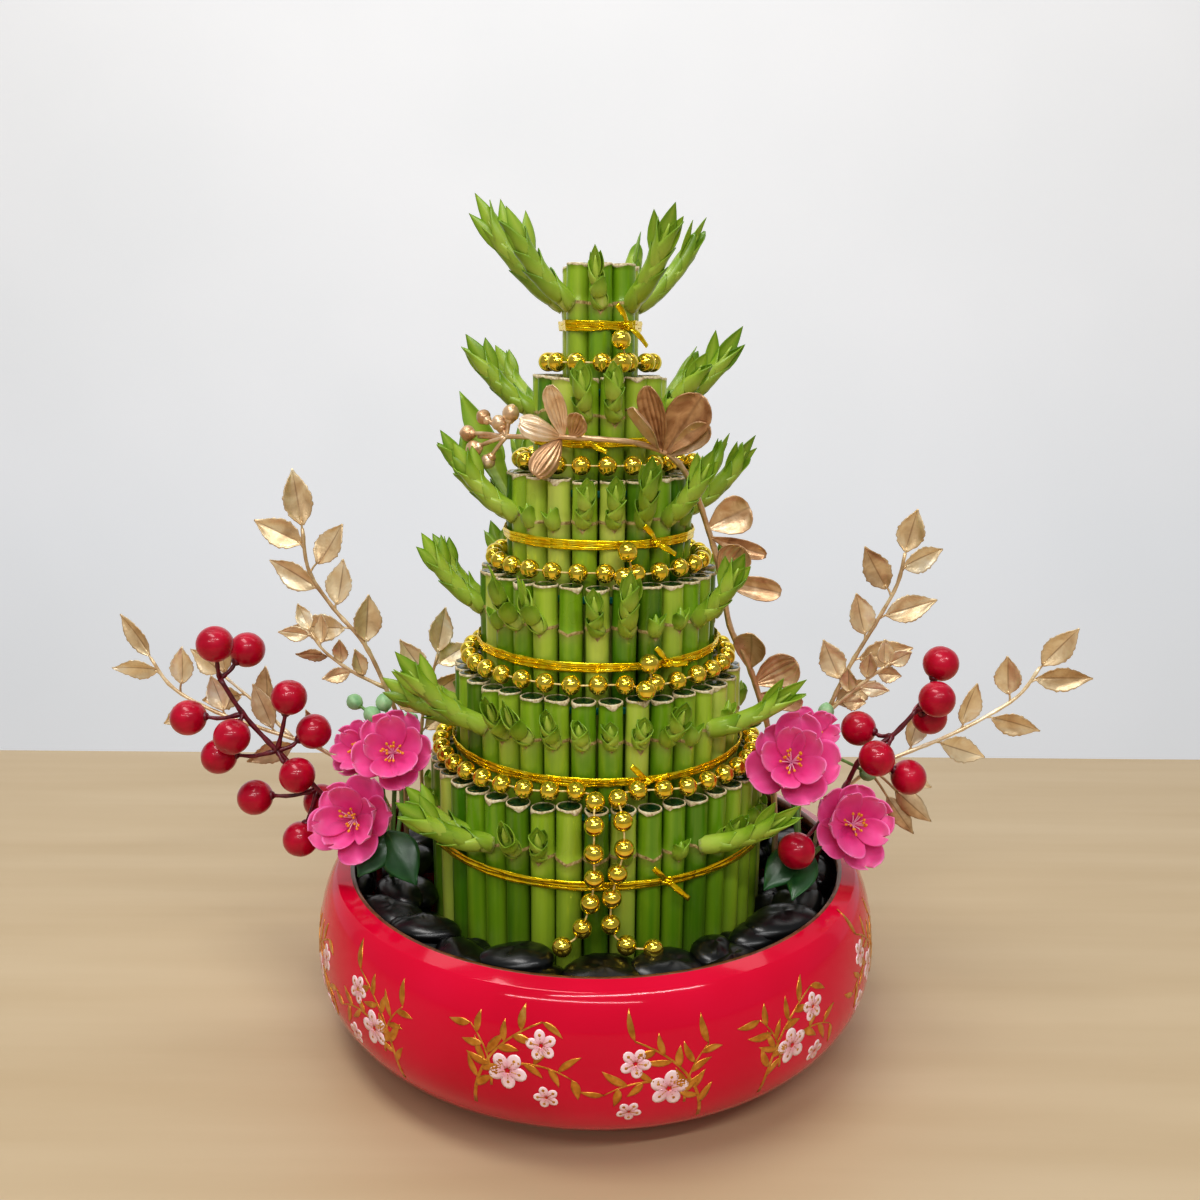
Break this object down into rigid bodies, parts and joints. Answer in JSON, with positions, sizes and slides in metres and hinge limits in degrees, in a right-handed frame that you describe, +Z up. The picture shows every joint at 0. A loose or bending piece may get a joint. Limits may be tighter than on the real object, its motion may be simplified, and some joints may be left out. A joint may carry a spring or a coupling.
{
  "type": "lucky bamboo",
  "caption": "Tiered tower of cut lucky bamboo stalks in a round red bowl of black pebbles, with gold ties, beads, leaf sprays, berries and pink blossoms.",
  "frame": {"origin": "centre of the bowl's flat underside", "axes": "+Z up along the tower's axis, -Y to the front where the bead strands hang, +X to the viewer's right along the two low sprays"},
  "size_m": [0.4401, 0.252, 0.3615],
  "materials": {
    "bowl_glaze": "high-gloss bright red glaze with a gold and pale pink printed band and a brown lip",
    "pebble_stone": "polished black river pebbles",
    "stalks_and_shoots": "living green stalks, waxy, with tan node rings, wax-sealed tops and bright green sheathed shoots",
    "gold_foil": "crinkled metallic gold foil tie",
    "teal_rubber": "matt teal rubber band",
    "gold_bead": "mirror-gold plated plastic beads",
    "gold_leaf": "satin champagne-gold coated plastic leaves",
    "berry_red": "glossy lacquered crimson berries on maroon wire",
    "petal_pink": "soft hot-pink cloth petals with paler edges",
    "green_wire": "matt green wrapped wire with dark green leaves and mint buds",
    "copper_leaf": "satin rose-copper coated plastic leaves"
  },
  "bodies": {
    "root": {"bowl": "bowl_glaze", "pebbles": "pebble_stone", "tier_1": "stalks_and_shoots", "tier_2": "stalks_and_shoots", "tier_3": "stalks_and_shoots", "tier_4": "stalks_and_shoots", "tier_5": "stalks_and_shoots", "tier_6": "stalks_and_shoots", "centre_stalk": "stalks_and_shoots", "tie_1": "gold_foil", "tie_2": "gold_foil", "tie_3": "gold_foil", "tie_4": "gold_foil", "tie_5": "gold_foil", "tie_6": "gold_foil", "band_2": "teal_rubber", "band_3": "teal_rubber", "band_4": "teal_rubber", "band_5": "teal_rubber", "band_6": "teal_rubber", "beads_2": "gold_bead", "beads_3": "gold_bead", "beads_4": "gold_bead", "beads_5": "gold_bead", "beads_6": "gold_bead", "gold_spray_left_tall": "gold_leaf", "gold_spray_left_low": "gold_leaf", "gold_spray_left_back": "gold_leaf", "gold_spray_right_tall": "gold_leaf", "gold_spray_right_low": "gold_leaf", "berries_left": "berry_red", "blossom_left_front": "petal_pink", "blossom_left_top": "petal_pink", "blossom_left_back": "petal_pink", "blossom_stem_left": "green_wire", "berries_right": "berry_red", "blossom_right_front": "petal_pink", "blossom_right_top": "petal_pink", "blossom_right_back": "petal_pink", "blossom_stem_right": "green_wire", "copper_branch": "copper_leaf"}
  },
  "joints": []
}
